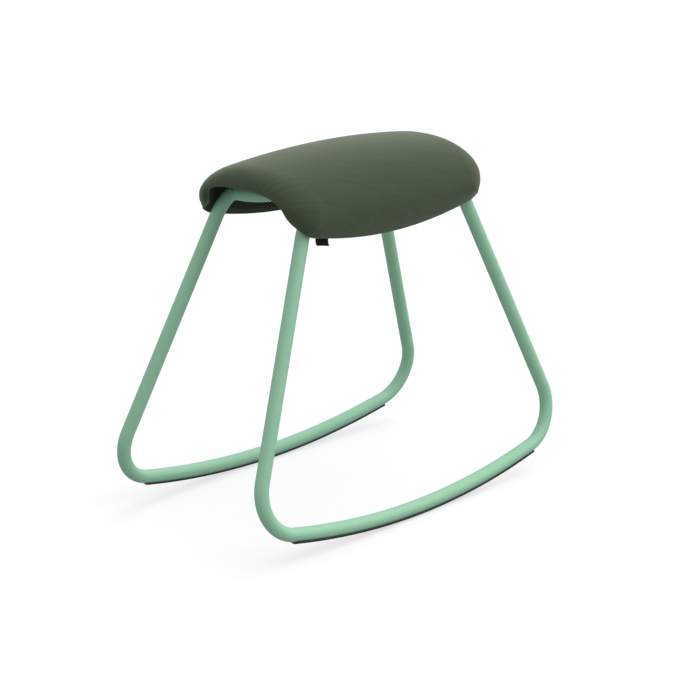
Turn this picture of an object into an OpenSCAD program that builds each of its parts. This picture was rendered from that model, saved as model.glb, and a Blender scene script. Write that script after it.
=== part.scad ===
// Rocking stool: two closed tube loops with curved runners carry a padded saddle seat.
// Millimetres. Z is up, the front of the seat faces -Y, and the floor is at Z = 0 under the
// middle of the runners. Left is -X.

/* [Tube frame] */
// Outside diameter of the frame tube
tube_d = 25; // [18:0.5:32]
// Wall of the frame tube
tube_wall = 2; // [1:0.1:3]
// Radius of a runner along the middle of its tube
runner_r = 1500; // [1100:10:2200]
// Half of the angle that a runner's arc spans
runner_half_angle = 12; // [8:0.25:15]
// Radius of the four bends of a loop, along the middle of the tube
bend_r = 78; // [60:1:100]
// Angle by which each loop leans in towards the seat
side_lean = 10; // [0:0.5:14]
// Width of the butt gap where the ends of a loop's tube meet over the sleeve
butt_gap = 0.6; // [0.3:0.1:1.5]
// Length of the sleeve inside the butt joint
sleeve_len = 80; // [50:1:120]
// Wall of the sleeve
sleeve_wall = 2; // [1:0.1:3]
// Depth that the joint's bore is reamed past the tube's own inside
ream = 0.05; // [0.02:0.01:0.2]
// Space between the sleeve and the reamed bore
sleeve_clearance = 0.1; // [0.05:0.05:0.3]

/* [Seat rails] */
// Distance between the middles of the two straight seat rails
rail_spacing = 76; // [70:1:90]
// Length of the straight stub between a seat rail's corner and its loop
rail_stub = 14.5; // [10:0.5:25]
// How far the seat rails lie below the top rails of the loops
rail_drop = 9.5; // [4:0.5:18]
// Root gap between a seat rail's coped end and the loop that it is welded to
weld_gap = 0.1; // [0.05:0.05:0.3]

/* [Cross plates] */
// Distance from the corner of a seat rail to the middle of a cross plate
plate_inset = 46.7; // [30:0.1:60]
// How far a cross plate reaches out past the middle of a seat rail
plate_reach = 16; // [13:0.5:25]
// Length of a cross plate from front to back
plate_l = 40; // [30:1:50]
// Thickness of a cross plate
plate_t = 4; // [3:0.5:6]
// Depth of the groove that lies on each seat rail
plate_groove = 1; // [0.5:0.1:2]
// Radius of a cross plate's corners
plate_corner_r = 6; // [3:0.5:10]

/* [Runner strips] */
// Thickness of the rubber strip under a runner
strip_t = 3.5; // [2:0.1:5]
// Half of the angle that a strip covers of the tube's round
strip_half_angle = 38; // [25:1:60]
// Angle by which a strip stops short of each end of its runner
strip_end_angle = 0; // [0:0.05:2]
// Space between a strip and its tube
strip_clearance = 0.1; // [0.05:0.05:0.3]
// Number of plugs on a strip
plug_count = 5; // [3:1:9]
// Diameter of a plug's neck
plug_d = 5; // [3:0.5:7]
// Diameter of a plug's head
plug_head_d = 8; // [6:0.5:10]
// Thickness of a plug's head
plug_head_h = 1.5; // [1:0.1:2.5]
// Space around a plug in its hole
plug_clearance = 0.15; // [0.05:0.05:0.4]

/* [Saddle] */
// Height of the seat's crest above the floor
seat_h = 655.5; // [560:0.5:760]
// Height of that crest above the loops' top rails
crown_h = 58.8; // [50:0.1:75]
// Greatest width over the padding
seat_w = 288; // [250:1:330]
// Thickness of the padding at the widest line, down to the insides of the flaps
flap_t = 21; // [17:0.5:28]
// Length of the seat along its crest
seat_l = 481; // [400:1:540]
// How far the flaps end short of the crest at the front and back
flap_setback = 14.5; // [0:0.5:25]
// How far the crest reaches past the middles of the loops' top bends
top_overhang = 106.4; // [90:0.1:125]
// How far the crest sinks from the middle to the front and back
crest_drop = 14; // [0:1:30]
// Distance from the crest down to the widest line
widest_drop = 93; // [75:0.5:105]
// Distance from the crest down to the flaps' lower edge at the middle
flap_drop = 141.5; // [125:0.5:150]
// How far that edge rises towards the front and back
flap_rise = 26; // [0:1:35]
// Length of the flaps' rounded lower corners
flap_corner_l = 28; // [12:1:36]
// How far the lower edge rises over such a corner
flap_corner_rise = 10; // [4:1:16]
// How far the flaps' lowest lines lie in from the widest line
edge_tuck = 16.5; // [8:0.5:20]
// Angle by which the padding turns in from the widest line to the flaps' edge
low_angle = 62; // [40:1:80]
// Fullness of the cross-section sideways, 2 is an ellipse
full_x = 2.25; // [1.6:0.05:4]
// Fullness of the cross-section upwards, 2 is an ellipse
full_z = 1.85; // [1.6:0.05:4]
// How far from the front and back the crest starts to round over
end_round = 21; // [12:1:40]
// How far the padding turns in under its rounded ends
end_lip = 14; // [8:1:20]
// Height of the arch under each end above the underside of the saddle
arch_rise = 7; // [0:0.5:12]
// Fullness of that arch, 1 is a straight slope and 2 is an ellipse
arch_full = 1.25; // [1:0.05:2.4]
// Radius inside the saddle's upper corners
saddle_inside_r = 22; // [15:0.5:26]
// Space between the loops' top rails and the underside of the saddle
seat_gap = 0.5; // [0.3:0.1:2]
// Space between the loops' top rails and the insides of the flaps
side_gap = 9.7; // [6:0.1:14]

/* [Seat layers] */
// Thickness of the lining under the seat
lining_t = 0.7; // [0.4:0.1:1.5]
// Thickness of the cover
cover_t = 1.4; // [0.8:0.1:2.5]
// Thickness of the moulded shell
shell_t = 4; // [3:0.25:8]
// Space between neighbouring soft layers
layer_gap = 0.3; // [0.3:0.05:0.8]
// Width of the cover's hem turned in under the shell
hem_w = 25; // [15:1:35]
// Distance from the hem's fold to the lining along the flaps
lining_inset = 3; // [2:0.5:10]
// Distance from the end of the shell to the lining at the front and back
lining_end_inset = 12; // [8:1:20]
// Height of the rim's outermost line as a share of its thickness
rim_low_share = 0.2; // [0.1:0.01:0.5]

/* [Fixings] */
// Diameter of the seat bolts
bolt_d = 6; // [4:0.5:8]
// Length of a seat bolt under its head
bolt_l = 16; // [12:0.5:20]
// Diameter of a seat bolt's head
bolt_head_d = 10.5; // [8:0.5:14]
// Height of a seat bolt's head
bolt_head_h = 3.3; // [2.5:0.1:6]
// Width across flats of the hexagon socket in the head
bolt_socket_w = 4; // [3:0.5:5]
// Depth of that socket
bolt_socket_depth = 2; // [1:0.1:3]
// Distance from the side of a seat rail to the middle of a bolt
bolt_inset = 7.5; // [7:0.5:10]
// Diametral space around a bolt in its plate, pad and insert
bolt_clearance = 0.6; // [0.2:0.1:1.2]
// Diameter of a washer
washer_d = 12; // [9:0.5:14]
// Thickness of a washer
washer_t = 1.6; // [1:0.1:2.5]
// Diameter of the shell's bosses
boss_d = 20; // [14:0.5:26]
// Diameter of the brass inserts
insert_d = 9; // [7:0.5:11]
// Length of the brass inserts
insert_l = 9.5; // [6:0.5:12]
// Diametral space around an insert in its boss
insert_clearance = 0.1; // [0.05:0.05:0.3]
// Thickness of the rubber pad under each boss
pad_t = 1.5; // [1:0.1:3]
// Width of a staple's crown
staple_w = 10; // [6:0.5:14]
// Thickness of the staple wire
staple_t = 0.6; // [0.4:0.1:1]
// Breadth of the staple wire
staple_b = 1.2; // [0.8:0.1:1.6]
// Distance from the hem's inner edge to the staples
staple_gap = 3; // [3:0.5:10]
// Distance from the saddle's inside corners to the outermost end staples
staple_side_inset = 14; // [11:1:30]
// Depth of a staple's legs in the shell as a share of the shell's thickness
staple_depth_share = 0.7; // [0.4:0.05:0.85]
// Space around a staple's legs
staple_clearance = 0.1; // [0.05:0.05:0.2]
// Number of staples along each flap
flap_staples = 9; // [3:1:13]
// Number of staples across the front and across the back
end_staples = 5; // [3:1:9]

/* [Label tag] */
// Width of the bare tag that hangs from the right flap
tag_w = 31; // [15:1:40]
// Length of the tag from its seam to its end
tag_h = 22; // [14:1:40]
// Thickness of the tag
tag_t = 0.6; // [0.4:0.1:1]
// Distance from the front end of the right flap to the tag's middle
tag_inset = 54; // [50:1:220]
// Space between the tag and the layers around it
tag_gap = 0.3; // [0.2:0.1:0.6]

/* [Hidden] */

// Facets: round tubes, small round parts, and the steps along bends, runners and strips
tube_sides = 20;
fn = 32;
low_bend_steps = 12;
top_bend_steps = 8;
runner_steps = 12;
rail_bend_steps = 7;
strip_fn = 360;

// A loop in its own plane: u runs front to back and v up the loop from the runner's middle
tube_r = tube_d / 2;
axis_z = tube_r + strip_t;
top_rail_z = seat_h - crown_h - tube_r;
top_v = (top_rail_z - axis_z) / cos(side_lean);
end_u = runner_r * sin(runner_half_angle);
end_v = runner_r * (1 - cos(runner_half_angle));
low_c = [end_u - bend_r * sin(runner_half_angle), end_v + bend_r * cos(runner_half_angle)];
top_c = [seat_l / 2 - top_overhang, top_v - bend_r];
leg_lean = atan((low_c[0] - top_c[0]) / (top_c[1] - low_c[1]));
leg_start = low_c + bend_r * [cos(leg_lean), sin(leg_lean)];

// Widths: the loops stand where the insides of the flaps clear their top rails
half_w = seat_w / 2;
half_edge = half_w - edge_tuck;
half_inside = half_w - flap_t;
inside_corner_x = half_inside - saddle_inside_r;
top_rail_x = half_inside - side_gap - tube_r;
half_track = top_rail_x + top_v * sin(side_lean);

// Heights and places that the seat and its rails take from the loops
rail_z = top_rail_z - rail_drop;
rail_v = (rail_z - axis_z) / cos(side_lean);
rail_joint_angle = asin((rail_v - top_c[1]) / bend_r);
rail_end_y = top_c[0] + bend_r * cos(rail_joint_angle);
rail_end_x = half_track - rail_v * sin(side_lean);
rail_x = rail_spacing / 2;
rail_bend_r = rail_end_x - rail_x - rail_stub;
plate_y = rail_end_y - rail_bend_r - plate_inset;
plate_w = rail_spacing + 2 * plate_reach;
plate_top = rail_z + tube_r - plate_groove + plate_t;
base_z = top_rail_z + tube_r + seat_gap;

// Offsets of the seat's layers from the lining's own face
hem_offset = lining_t + layer_gap;
shell_offset = hem_offset + cover_t + layer_gap;
foam_offset = shell_offset + shell_t + layer_gap;
foam_inset = cover_t + layer_gap;

// The saddle's padding: heights, and half lengths of its crest, flaps, inner edge and shell
widest_z = seat_h - widest_drop;
flap_bottom = seat_h - flap_drop;
flap_lip = (widest_z - flap_bottom) * (1 - sin(low_angle));
crest_half_l = seat_l / 2;
flap_half_l = crest_half_l - flap_setback;
edge_half_l = flap_half_l - end_lip;
shell_half_l = edge_half_l - 2 * cover_t;
tag_y = flap_half_l - tag_inset;

// Grid of the padding: columns go across the saddle and rows along it
half_cols = 9;
cols = 2 * half_cols;
half_rows = 6;
rows = 2 * half_rows;
crown_steps = 7;
corner_cols = 3;
corner_angle = 45;
flat_steps = 2;
corner_steps = 4;
corner_step_angle = 90 / corner_steps;
rim_steps = 4;

bolt_hole_d = bolt_d + bolt_clearance;
bolt_x = rail_x - tube_r - bolt_inset;
bolt_places = [for (y = [-plate_y, plate_y], x = [-bolt_x, bolt_x]) [x, y]];
boss_bottom = plate_top + pad_t;
insert_hole_l = insert_l + insert_clearance;

// Places along a stretch of bend: the plane point and the heading of the tube there
function bend(c, r, from, to, steps) = [
    for (i = [1:steps])
        let (h = from + (to - from) * i / steps)
        [c[0] + r * sin(h), c[1] - r * cos(h), h]
];

// One turn round the loop, anticlockwise from the butt joint in the top rail
function loop_path() = concat(
    [[-butt_gap / 2, top_v, 180], [-top_c[0], top_v, 180]],
    bend([-top_c[0], top_c[1]], bend_r, 180, 270 - leg_lean, top_bend_steps),
    [[-leg_start[0], leg_start[1], 270 - leg_lean]],
    bend([-low_c[0], low_c[1]], bend_r, 270 - leg_lean, 360 - runner_half_angle, low_bend_steps),
    bend([0, runner_r], runner_r, 360 - runner_half_angle, 360 + runner_half_angle, runner_steps),
    bend(low_c, bend_r, 360 + runner_half_angle, 450 + leg_lean, low_bend_steps),
    [[top_c[0] + bend_r * cos(leg_lean), top_c[1] + bend_r * sin(leg_lean), 450 + leg_lean]],
    bend(top_c, bend_r, 450 + leg_lean, 540, top_bend_steps),
    [[butt_gap / 2, top_v, 540]]
);

// A seat rail seen from above: in from the rear bend, forward, and out to the front bend
function rail_path() =
    let (turn = [rail_x + rail_bend_r, rail_end_y - rail_bend_r])
    concat(
        [[rail_end_x, rail_end_y, 180], [turn[0], rail_end_y, 180]],
        bend(turn, rail_bend_r, 180, 270, rail_bend_steps),
        [[rail_x, -turn[1], 270]],
        bend([turn[0], -turn[1]], rail_bend_r, 270, 360, rail_bend_steps),
        [[rail_end_x, -rail_end_y, 360]]
    );

function ring(place, r) = [
    for (i = [0:tube_sides - 1])
        let (a = 360 * i / tube_sides, side = r * cos(a))
        [place[0] - side * sin(place[2]), place[1] + side * cos(place[2]), r * sin(a)]
];

// A round tube along a path of [x, y, heading], hollow from end to end
module bent_tube(path) {
    n = tube_sides;
    last = len(path) - 1;
    inner = n * len(path);
    points = concat(
        [for (place = path) each ring(place, tube_r)],
        [for (place = path) each ring(place, tube_r - tube_wall)]
    );
    faces = concat(
        [for (k = [0:last - 1], i = [0:n - 1]) each quad(k * n + i, k * n + (i + 1) % n,
            (k + 1) * n + (i + 1) % n, (k + 1) * n + i)],
        [for (k = [0:last - 1], i = [0:n - 1]) each quad(inner + k * n + i,
            inner + (k + 1) * n + i, inner + (k + 1) * n + (i + 1) % n,
            inner + k * n + (i + 1) % n)],
        [for (i = [0:n - 1]) each quad(i, inner + i, inner + (i + 1) % n, (i + 1) % n)],
        [for (i = [0:n - 1]) each quad(last * n + i, last * n + (i + 1) % n,
            inner + last * n + (i + 1) % n, inner + last * n + i)]
    );
    polyhedron(points, flipped(faces));
}

function quad(a, b, c, d) = [[a, b, c], [a, c, d]];

// Stands a shape drawn in the loop's plane on the right runner
module in_right_loop() {
    translate([half_track, 0, axis_z])
        rotate([0, -side_lean, 0])
            rotate([90, 0, 90])
                children();
}

// Points a shape drawn along +X from a runner's own middle outwards at each plug's place
module at_plugs() {
    reach = runner_half_angle * (plug_count - 1) / plug_count;
    for (i = [0:plug_count - 1])
        translate([0, runner_r, 0])
            rotate([0, 0, 270 - reach + 2 * reach * i / (plug_count - 1)])
                translate([runner_r, 0, 0])
                    rotate([0, 90, 0])
                        children();
}

module right_loop_tube() {
    in_right_loop()
        difference() {
            bent_tube(loop_path());
            translate([0, top_v, 0])
                rotate([0, 90, 0])
                    cylinder(
                        h = sleeve_len + tube_d, r = tube_r - tube_wall + ream,
                        center = true, $fn = fn
                    );
            at_plugs()
                translate([0, 0, tube_r - 2 * tube_wall])
                    cylinder(h = 3 * tube_wall, d = plug_d + 2 * plug_clearance, $fn = fn);
        }
}

module right_sleeve() {
    outside = 2 * (tube_r - tube_wall + ream - sleeve_clearance);
    in_right_loop()
        translate([0, top_v, 0])
            rotate([0, 90, 0])
                difference() {
                    cylinder(h = sleeve_len, d = outside, center = true, $fn = fn);
                    cylinder(
                        h = sleeve_len + tube_d, d = outside - 2 * sleeve_wall,
                        center = true, $fn = fn
                    );
                }
}

// The coped ends follow the round of the loop's front and rear bends
module right_rail_tube() {
    difference() {
        translate([0, 0, rail_z])
            bent_tube(rail_path());
        for (end = [0, 1])
            mirror([0, end, 0])
                in_right_loop()
                    translate([top_c[0], top_c[1], 0])
                        rotate_extrude(angle = 90, $fn = 2 * fn)
                            translate([bend_r, 0])
                                circle(r = tube_r + weld_gap, $fn = fn);
    }
}

module cross_plate() {
    difference() {
        translate([0, 0, plate_top - plate_t])
            linear_extrude(plate_t)
                rounded_plate([plate_w, plate_l], plate_corner_r);
        for (side = [-1, 1])
            translate([side * rail_x, 0, rail_z])
                rotate([90, 0, 0])
                    cylinder(h = 2 * plate_l, r = tube_r, center = true, $fn = 2 * fn);
        for (side = [-1, 1])
            translate([side * bolt_x, 0, plate_top - 2 * plate_t])
                cylinder(h = 3 * plate_t, d = bolt_hole_d, $fn = fn);
    }
}

module rounded_plate(size, r) {
    polygon([
        for (corner = [0:3], step = [0:corner_steps])
            let (a = 90 * corner + corner_step_angle * step)
            [
                (corner == 0 || corner == 3 ? 1 : -1) * (size[0] / 2 - r) + r * cos(a),
                (corner < 2 ? 1 : -1) * (size[1] / 2 - r) + r * sin(a)
            ]
    ]);
}

// The strip hugs the underside of the runner and holds by plugs pushed through the tube
module right_strip() {
    neck_top = tube_r + strip_t / 2;
    head_top = sqrt(pow(tube_r - tube_wall, 2) - pow(plug_head_d / 2, 2)) - 3 * plug_clearance;
    in_right_loop()
        union() {
            translate([0, runner_r, 0])
                rotate_extrude(
                    angle = 2 * (runner_half_angle - strip_end_angle),
                    start = 270 - runner_half_angle + strip_end_angle, $fn = strip_fn
                )
                    translate([runner_r, 0])
                        strip_profile();
            at_plugs() {
                translate([0, 0, head_top - plug_head_h])
                    cylinder(h = plug_head_h, d = plug_head_d, $fn = fn);
                translate([0, 0, head_top - plug_head_h / 2])
                    cylinder(h = neck_top - head_top + plug_head_h / 2, d = plug_d, $fn = fn);
            }
        }
}

module strip_profile() {
    step = strip_half_angle / corner_steps;
    inside = tube_r + strip_clearance;
    outside = tube_r + strip_t;
    polygon(concat(
        [for (i = [-corner_steps:corner_steps]) inside * [cos(i * step), sin(i * step)]],
        [for (i = [corner_steps:-1:-corner_steps]) outside * [cos(i * step), sin(i * step)]]
    ));
}

// Angle by which the edge has turned towards the end at y, up to half a right angle
function corner_turn(y) =
    asin(sin(corner_angle) * min(max((abs(y) - edge_half_l) / flap_corner_l + 1, 0), 1));

// Lower edge of a flap at a distance y from the middle, with its rounded corner
function edge_z(y) =
    flap_bottom + flap_rise * pow(y / edge_half_l, 2)
    + flap_corner_rise * (1 - cos(corner_turn(y)));

// Direction in which the padding's edge faces at y, as [x, y, z]
function edge_out(y) =
    let (
        turn = corner_turn(y),
        slope = 2 * flap_rise * abs(y) / pow(edge_half_l, 2),
        out = [0, sign(y) * (slope * cos(turn) + sin(turn)), -cos(turn)]
    )
    out / norm(out);

// Row and column numbers to a share of the half length, a side, and angles across the saddle
function row_share(row) = sin(90 * (row - half_rows) / half_rows);
function side_of(col) = sign(col - half_cols);
function crown_angle(col) = 90 * min(abs(col - half_cols) / crown_steps, 1);
function arch_angle(col) = 90 * abs(col - half_cols) / half_cols;
function end_half_l(col) =
    crest_half_l + (flap_half_l - crest_half_l) * pow(sin(crown_angle(col)), 2);

// A point on the padding's outside, drawn in by the given inset
function skin(col, row, inset) =
    let (
        y = row_share(row) * (end_half_l(col) - end_round),
        a = crown_angle(col),
        low = low_angle * max(abs(col - half_cols) - crown_steps, 0) / (half_cols - crown_steps),
        crest = seat_h - crest_drop * pow(row_share(row), 2) - inset,
        bottom = edge_z(row_share(row) * edge_half_l) + inset
    )
    low > 0
        ? [side_of(col) * (half_edge + (half_w - inset - half_edge) * cos(low)), y,
            widest_z - (widest_z - bottom) * sin(low)]
        : [side_of(col) * (half_w - inset) * pow(sin(a), 2 / full_x), y,
            widest_z + (crest - widest_z) * pow(max(cos(a), 0), 2 / full_z)];

// A point on the saddle's inside profile, moved out by the given offset
function inside(col, row, offset, half_l) =
    let (
        step = abs(col - half_cols),
        corner = corner_step_angle * min(max(step - flat_steps, 0), corner_steps),
        down = max(step - flat_steps - corner_steps, 0) / (half_cols - flat_steps - corner_steps),
        r = saddle_inside_r + offset,
        corner_z = base_z - saddle_inside_r,
        lip_z = edge_z(row_share(row) * edge_half_l) + flap_lip
    )
    [
        side_of(col) * (inside_corner_x * min(step / flat_steps, 1) + r * sin(corner)),
        row_share(row) * half_l,
        corner_z + r * cos(corner) - (corner_z - lip_z) * down
    ];

// The grid's border as [column, row], once round
border = concat(
    [for (col = [0:cols - 1]) [col, 0]],
    [for (row = [0:rows - 1]) [cols, row]],
    [for (col = [cols:-1:1]) [col, rows]],
    [for (row = [rows:-1:1]) [0, row]]
);

function on_flap(place) = place[0] == 0 || place[0] == cols;
function border_y(place) = row_share(place[1]) * edge_half_l;

// Angle by which the border has turned: 0 is down from a flap, 90 is straight out of an end
function border_turn(place) =
    let (near_corner = max(abs(place[0] - half_cols) - half_cols + corner_cols, 0) / corner_cols)
    on_flap(place) ? corner_turn(border_y(place)) : 90 - corner_angle * near_corner;

// Direction in which the border faces
function border_out(place) =
    let (turn = border_turn(place))
    on_flap(place)
        ? edge_out(border_y(place))
        : [0, sign(border_y(place)) * sin(turn), -cos(turn)];

// The line where the padding turns in: along the flaps' insides and over an arch at each end
function lip(place, inset) =
    let (
        foot_x = half_inside + hem_offset + inset,
        foot_z = edge_z(border_y(place)) + flap_lip,
        arch_h = base_z + arch_rise + inset - foot_z,
        a = arch_angle(place[0]),
        half_l = end_half_l(place[0]) - end_lip
    )
    [
        side_of(place[0]) * foot_x * (on_flap(place) ? 1 : pow(sin(a), 2 / arch_full)),
        row_share(place[1]) * half_l
            + sign(border_y(place)) * sin(border_turn(place)) * inset,
        foot_z + (on_flap(place) ? 0 : arch_h * pow(cos(a), 2 / arch_full))
    ];

// A point of the padded rim: 0 degrees is on the skin, 180 is on the lip
function rim(place, angle, inset) =
    let (
        out = border_out(place),
        endwards = sin(border_turn(place)),
        under = lip(place, inset),
        across = skin(place[0], place[1], inset) - under,
        lead = across * out,
        bulge = flap_lip + (end_lip - flap_lip) * endwards - inset * (1 + endwards),
        low = rim_low_share
    )
    angle < 90
        ? under + (across - lead * out) * (low + (1 - low) * cos(angle))
            + out * (lead + (bulge - lead) * sin(angle))
        : under + (across - lead * out) * low * (1 + cos(angle)) + out * bulge * sin(angle);

// The hem at a distance from its start: the lip on the flaps, the shell's edge at the ends
function hem(place, inset, distance) =
    (on_flap(place)
        ? lip(place, inset)
        : inside(place[0], place[1], hem_offset + inset, shell_half_l + inset))
    - distance * border_out(place);

function grid_points(inset) = [for (row = [0:rows], col = [0:cols]) skin(col, row, inset)];
function grid_index(place) = place[1] * (cols + 1) + place[0];
function grid_faces(start) = [
    for (row = [0:rows - 1], col = [0:cols - 1])
        each quad(
            start + grid_index([col, row]), start + grid_index([col + 1, row]),
            start + grid_index([col + 1, row + 1]), start + grid_index([col, row + 1])
        )
];
function flipped(faces) = [for (f = faces) [f[2], f[1], f[0]]];

// Faces between two closed rows of points of the same length
function band(a, b) = [
    for (i = [0:len(a) - 1])
        let (j = (i + 1) % len(a))
        each quad(a[i], a[j], b[j], b[i])
];

grid_size = (cols + 1) * (rows + 1);
border_size = len(border);
function border_row(start) = [for (place = border) start + grid_index(place)];
function loop_row(start, k) = [for (i = [0:border_size - 1]) start + k * border_size + i];

// The foam fills the space between the cover and the shell
module foam_body() {
    points = concat(
        grid_points(foam_inset),
        [for (k = [1:rim_steps], place = border) rim(place, 180 * k / rim_steps, foam_inset)],
        [for (row = [0:rows], col = [0:cols])
            inside(col, row, foam_offset, shell_half_l + foam_inset)]
    );
    under = grid_size + rim_steps * border_size;
    faces = concat(
        grid_faces(0),
        band(loop_row(grid_size, 0), border_row(0)),
        [for (k = [1:rim_steps - 1])
            each band(loop_row(grid_size, k), loop_row(grid_size, k - 1))],
        band(border_row(under), loop_row(grid_size, rim_steps - 1)),
        flipped(grid_faces(under))
    );
    polyhedron(points, flipped(faces));
}

// One face of the cover: the skin, the rim, and the hem folded in under the shell
function cover_side(inset) = concat(
    grid_points(inset),
    [for (k = [1:rim_steps], place = border) rim(place, 180 * k / rim_steps, inset)],
    [for (place = border) hem(place, inset, on_flap(place) ? 2 * cover_t : 0)],
    [for (place = border) hem(place, inset, hem_w)]
);
function cover_faces(start) = concat(
    grid_faces(start),
    band(loop_row(start + grid_size, 0), border_row(start)),
    [for (k = [1:rim_steps + 1])
        each band(loop_row(start + grid_size, k), loop_row(start + grid_size, k - 1))]
);

module cover_body() {
    outside = cover_side(0);
    n = len(outside);
    faces = concat(
        cover_faces(0),
        flipped(cover_faces(n)),
        band(loop_row(n + grid_size, rim_steps + 1), loop_row(grid_size, rim_steps + 1))
    );
    polyhedron(concat(outside, cover_side(cover_t)), flipped(faces));
}

// The saddle's profile in X and Z as a solid arch, moved out by the given offset
module arch(offset) {
    r = saddle_inside_r + offset;
    corner_z = base_z - saddle_inside_r;
    quarter = [for (i = [0:corner_steps]) corner_step_angle * i];
    polygon(concat(
        [[-inside_corner_x - r, 0]],
        [for (a = quarter) [-inside_corner_x - r * cos(a), corner_z + r * sin(a)]],
        [for (a = quarter) [inside_corner_x + r * sin(a), corner_z + r * cos(a)]],
        [[inside_corner_x + r, 0]]
    ));
}

// A sheet bent over the saddle's inside between two offsets, cut to the flaps' outline
module saddle_sheet(from, thickness, inset, lift) {
    reach = shell_half_l - inset;
    shares = [for (row = [0:2 * half_rows]) row_share(row)];
    intersection() {
        translate([0, reach, 0])
            rotate([90, 0, 0])
                linear_extrude(2 * reach)
                    difference() {
                        arch(from + thickness);
                        arch(from);
                    }
        rotate([90, 0, 90])
            linear_extrude(2 * seat_w, center = true)
                polygon(concat(
                    [for (share = shares) [share * reach, edge_z(share * edge_half_l) + lift]],
                    [[reach, seat_h], [-reach, seat_h]]
                ));
    }
}

module at_bolts() {
    for (place = bolt_places)
        translate([place[0], place[1], 0])
            children();
}

// Each staple's place: drawn with its crown along X and its legs up
module at_staples() {
    past_hem = hem_w + staple_gap;
    reach = shell_half_l - past_hem;
    flat = inside_corner_x - staple_side_inset;
    for (i = [0:end_staples - 1], end = [-1, 1])
        translate([flat * (2 * i / (end_staples - 1) - 1), end * reach, base_z])
            children();
    for (i = [0:flap_staples - 1], side = [-1, 1])
        let (y = (reach - flap_corner_l) * (2 * i / (flap_staples - 1) - 1))
        translate([side * half_inside, y, edge_z(y) + flap_lip + past_hem])
            rotate([90, 0, side * 90])
                children();
}

module staple_legs(play) {
    depth = shell_offset + shell_t * staple_depth_share;
    for (end = [-1, 1])
        translate([end * (staple_w - staple_t) / 2, 0, depth / 2 - play])
            cube([staple_t + 2 * play, staple_b + 2 * play, depth + 2 * play], center = true);
}

module side_mirror(side) {
    if (side == "left")
        mirror([1, 0, 0]) children();
    else
        children();
}

module left_side_loop() color("#9cc9ab") side_mirror("left") right_loop_tube();
module right_side_loop() color("#9cc9ab") right_loop_tube();
module left_joint_sleeve() color("#8d9296") side_mirror("left") right_sleeve();
module right_joint_sleeve() color("#8d9296") right_sleeve();
module left_seat_rail() color("#9cc9ab") side_mirror("left") right_rail_tube();
module right_seat_rail() color("#9cc9ab") right_rail_tube();
module front_cross_plate() color("#9cc9ab") translate([0, -plate_y, 0]) cross_plate();
module rear_cross_plate() color("#9cc9ab") translate([0, plate_y, 0]) cross_plate();
module left_runner_strip() color("#2b2e2c") side_mirror("left") right_strip();
module right_runner_strip() color("#2b2e2c") right_strip();

module seat_shell() color("#33383a") {
    difference() {
        union() {
            saddle_sheet(shell_offset, shell_t, 0, flap_lip);
            at_bolts()
                translate([0, 0, boss_bottom])
                    cylinder(
                        h = base_z + shell_offset + shell_t / 2 - boss_bottom, d = boss_d,
                        $fn = fn
                    );
        }
        at_bolts()
            translate([0, 0, boss_bottom - pad_t])
                cylinder(h = insert_hole_l + pad_t, d = insert_d + insert_clearance, $fn = fn);
        at_staples()
            staple_legs(staple_clearance);
    }
}

module threaded_inserts() color("#b99a55") at_bolts()
    translate([0, 0, boss_bottom])
        difference() {
            cylinder(h = insert_l, d = insert_d, $fn = fn);
            translate([0, 0, -pad_t])
                cylinder(h = insert_l + 2 * pad_t, d = bolt_hole_d, $fn = fn);
        }

module seat_bolts() color("#9a9da0") at_bolts()
    translate([0, 0, plate_top - plate_t - washer_t])
        difference() {
            union() {
                cylinder(h = bolt_l, d = bolt_d, $fn = fn);
                translate([0, 0, -bolt_head_h])
                    cylinder(h = bolt_head_h, d = bolt_head_d, $fn = fn);
            }
            translate([0, 0, -2 * bolt_head_h + bolt_socket_depth])
                cylinder(h = bolt_head_h, d = bolt_socket_w / cos(30), $fn = 6);
        }

module bolt_washers() color("#a9acae") at_bolts()
    translate([0, 0, plate_top - plate_t - washer_t])
        difference() {
            cylinder(h = washer_t, d = washer_d, $fn = fn);
            translate([0, 0, -washer_t])
                cylinder(h = 3 * washer_t, d = bolt_hole_d, $fn = fn);
        }

module seat_pads() color("#242625") at_bolts()
    translate([0, 0, plate_top])
        difference() {
            cylinder(h = pad_t, d = boss_d, $fn = fn);
            translate([0, 0, -pad_t])
                cylinder(h = 3 * pad_t, d = bolt_hole_d, $fn = fn);
        }

module seat_foam() color("#d9d2b8") foam_body();

module seat_cover() color("#4f5b48") cover_body();

module underside_lining() color("#1d201e") difference() {
    saddle_sheet(0, lining_t, lining_end_inset, flap_lip + lining_inset);
    at_bolts()
        translate([0, 0, base_z - lining_t])
            cylinder(h = 3 * lining_t, d = boss_d + 2 * bolt_clearance, $fn = fn);
    at_staples()
        staple_legs(staple_clearance);
}

module lining_staples() color("#a3a6a8") at_staples() union() {
    translate([0, 0, -staple_t / 2])
        cube([staple_w, staple_b, staple_t], center = true);
    staple_legs(0);
}

module label_tag() color("#141615")
    translate([
        half_inside + hem_offset - tag_gap - tag_t, -tag_y,
        edge_z(tag_y) + flap_lip + lining_inset - tag_gap
    ])
        rotate([90, 0, 90])
            linear_extrude(tag_t)
                rotate(-atan(2 * flap_rise * tag_y / pow(edge_half_l, 2)))
                    translate([0, -tag_h / 2 - tag_gap])
                        rounded_plate([tag_w, tag_h], tag_t);

left_side_loop();
right_side_loop();
left_joint_sleeve();
right_joint_sleeve();
left_seat_rail();
right_seat_rail();
front_cross_plate();
rear_cross_plate();
left_runner_strip();
right_runner_strip();
seat_shell();
threaded_inserts();
seat_bolts();
bolt_washers();
seat_pads();
seat_foam();
seat_cover();
underside_lining();
lining_staples();
label_tag();
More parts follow.
